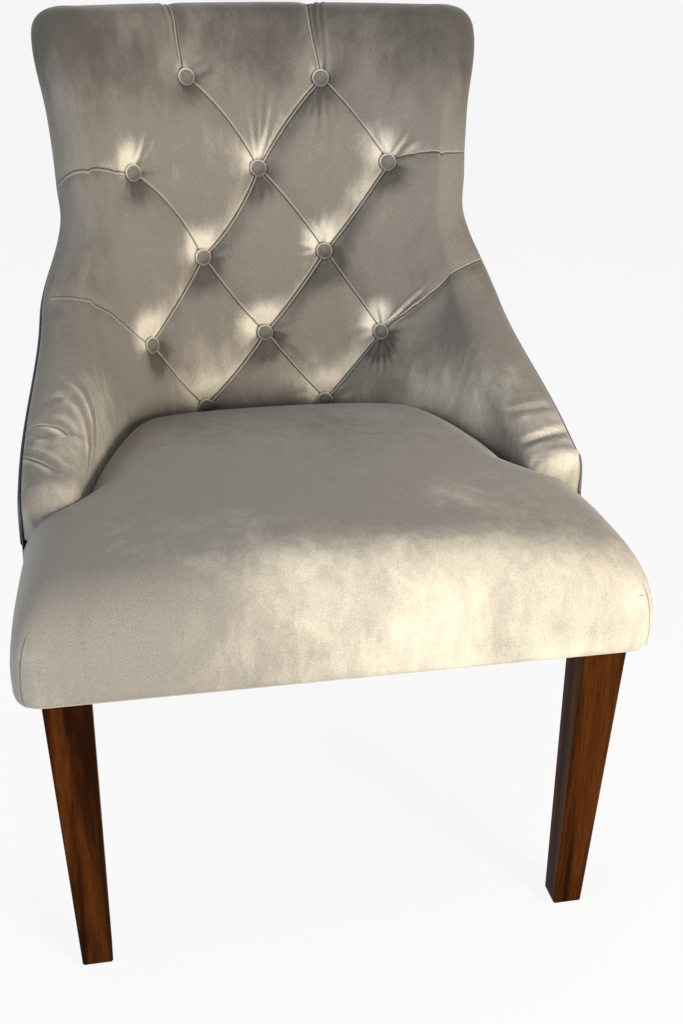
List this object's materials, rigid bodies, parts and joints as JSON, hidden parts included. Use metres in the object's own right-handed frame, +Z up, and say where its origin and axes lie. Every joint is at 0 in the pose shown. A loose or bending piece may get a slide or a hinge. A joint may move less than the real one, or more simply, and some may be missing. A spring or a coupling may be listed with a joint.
{
  "type": "tufted chair",
  "caption": "Upholstered scoop-back chair with a button-tufted inside back, low swept arms, a tight crowned seat and square tapered dark wood legs.",
  "frame": {"origin": "on the floor, under the centre of the chair's bounding box", "axes": "+Z up; the front of the chair faces -Y, and +X is to the right of someone who stands in front of it and looks at it"},
  "size_m": [0.663, 0.7008, 0.9577],
  "materials": {
    "velvet": "greige short-pile velvet with a brushed, crushed look",
    "velvet_outside": "the same velvet, in the shade of the outside",
    "dark_lacquered_wood": "dark walnut stain under gloss lacquer",
    "frame_wood": "plain sawn hardwood",
    "foam": "flexible polyurethane foam",
    "burlap": "coarse plain-woven jute",
    "black_cambric": "thin non-woven dust cover",
    "spring_steel": "oiled drawn wire",
    "zinc_plated_steel": "bright zinc plate",
    "nylon": "moulded, fine matt grain"
  },
  "bodies": {
    "root": {"arm_rail_left": "frame_wood", "arm_rail_right": "frame_wood", "arm_stump_left": "frame_wood", "arm_stump_right": "frame_wood", "back_burlap": "burlap", "back_cover": "velvet", "back_foam": "foam", "back_post_left": "frame_wood", "back_post_right": "frame_wood", "back_slat_1": "frame_wood", "back_slat_2": "frame_wood", "back_slat_3": "frame_wood", "back_slat_4": "frame_wood", "button_row1_left": "velvet", "button_row1_right": "velvet", "button_row2_left": "velvet", "button_row2_middle": "velvet", "button_row2_right": "velvet", "button_row3_left": "velvet", "button_row3_right": "velvet", "button_row4_left": "velvet", "button_row4_middle": "velvet", "button_row4_right": "velvet", "button_row5_left": "velvet", "button_row5_right": "velvet", "crest_rail": "frame_wood", "dust_cover": "black_cambric", "front_block_left": "frame_wood", "front_block_right": "frame_wood", "front_glide_left": "nylon", "front_glide_right": "nylon", "front_leg_left": "dark_lacquered_wood", "front_leg_right": "dark_lacquered_wood", "front_rail": "frame_wood", "leg_bolt_front_left": "zinc_plated_steel", "leg_bolt_front_right": "zinc_plated_steel", "leg_bolt_rear_left": "zinc_plated_steel", "leg_bolt_rear_right": "zinc_plated_steel", "leg_nut_front_left": "zinc_plated_steel", "leg_nut_front_right": "zinc_plated_steel", "leg_nut_rear_left": "zinc_plated_steel", "leg_nut_rear_right": "zinc_plated_steel", "lower_back_rail": "frame_wood", "outside_cover": "velvet_outside", "rear_block_left": "frame_wood", "rear_block_right": "frame_wood", "rear_glide_left": "nylon", "rear_glide_right": "nylon", "rear_leg_left": "dark_lacquered_wood", "rear_leg_right": "dark_lacquered_wood", "rear_rail": "frame_wood", "seat_cover": "velvet", "seat_deck": "burlap", "seat_foam": "foam", "seat_spring_1": "spring_steel", "seat_spring_2": "spring_steel", "seat_spring_3": "spring_steel", "seat_spring_4": "spring_steel", "side_rail_left": "frame_wood", "side_rail_right": "frame_wood"}
  },
  "joints": []
}
